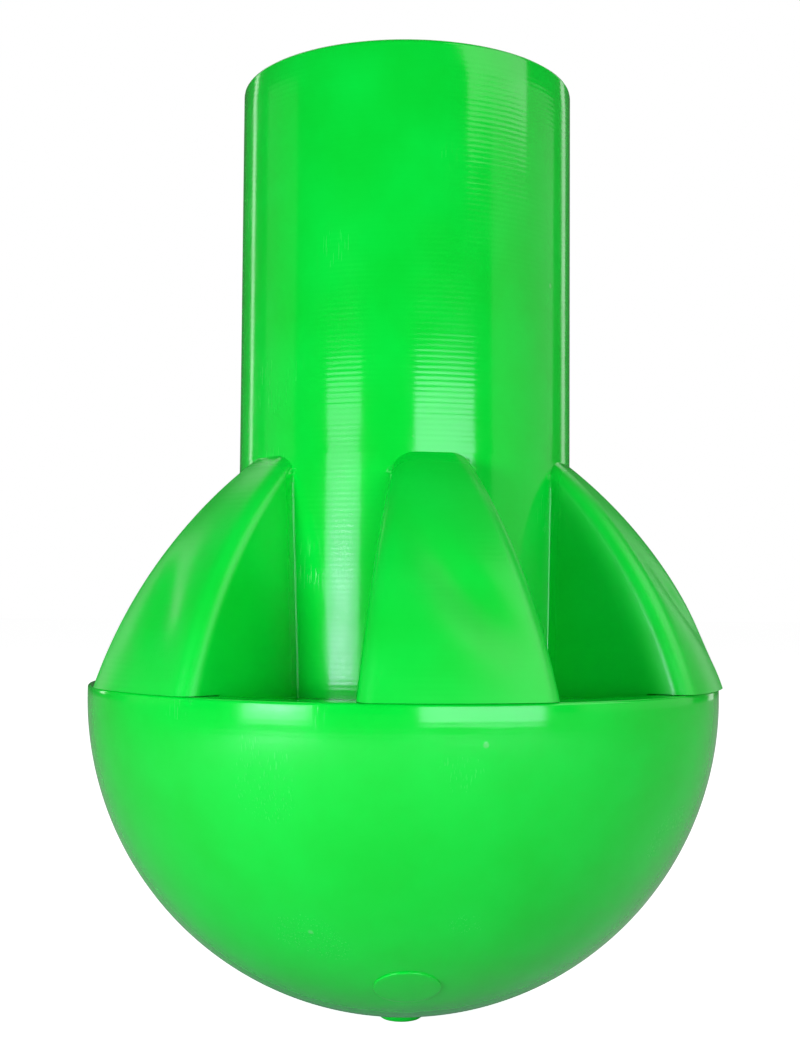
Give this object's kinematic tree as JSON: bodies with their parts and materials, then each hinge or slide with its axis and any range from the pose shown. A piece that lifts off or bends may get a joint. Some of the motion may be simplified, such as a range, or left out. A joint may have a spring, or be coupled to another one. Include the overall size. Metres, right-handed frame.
{
  "type": "pipette filler bulb",
  "caption": "Hand bulb with a plain round stem, ribs that complete the bulb's ball, a springy bowl-shaped dome below, and a soft pipette sleeve with an air filter in the stem's mouth.",
  "frame": {"origin": "centre of the stem's mouth, in the plane of its rim", "axes": "+Z along the stem and out of its mouth; -Y through the middle of one rib; the dome is at the -Z end"},
  "size_m": [0.06, 0.0606, 0.0895],
  "materials": {
    "stem_plastic": "semi-gloss moulded polypropylene, bright green, with faint turned lines from the mould",
    "dome_elastomer": "semi-gloss moulded elastomer, the same bright green as the stem",
    "sleeve_silicone": "satin silicone rubber, milky white",
    "filter_plastic": "natural moulded polypropylene",
    "membrane": "matt white porous membrane"
  },
  "bodies": {
    "stem": {"stem_housing": "stem_plastic"},
    "dome": {"squeeze_dome": "dome_elastomer"},
    "sleeve": {"pipette_sleeve": "sleeve_silicone"},
    "filter": {"filter_inlet_shell": "filter_plastic", "filter_outlet_shell": "filter_plastic", "filter_membrane": "membrane"}
  },
  "joints": [
    {"name": "bulb_squeeze", "type": "slide", "parent": "stem", "child": "dome", "axis": [0, 0, 1], "range_m": [0, 0.01], "stiffness_N_per_m": 2000, "deforming": ["squeeze_dome"]},
    {"name": "sleeve_withdraw", "type": "slide", "parent": "stem", "child": "sleeve", "axis": [0, 0, 1], "range_m": [0, 0.04]},
    {"name": "filter_unplug", "type": "slide", "parent": "sleeve", "child": "filter", "axis": [0, 0, -1], "range_m": [0, 0.008]}
  ]
}
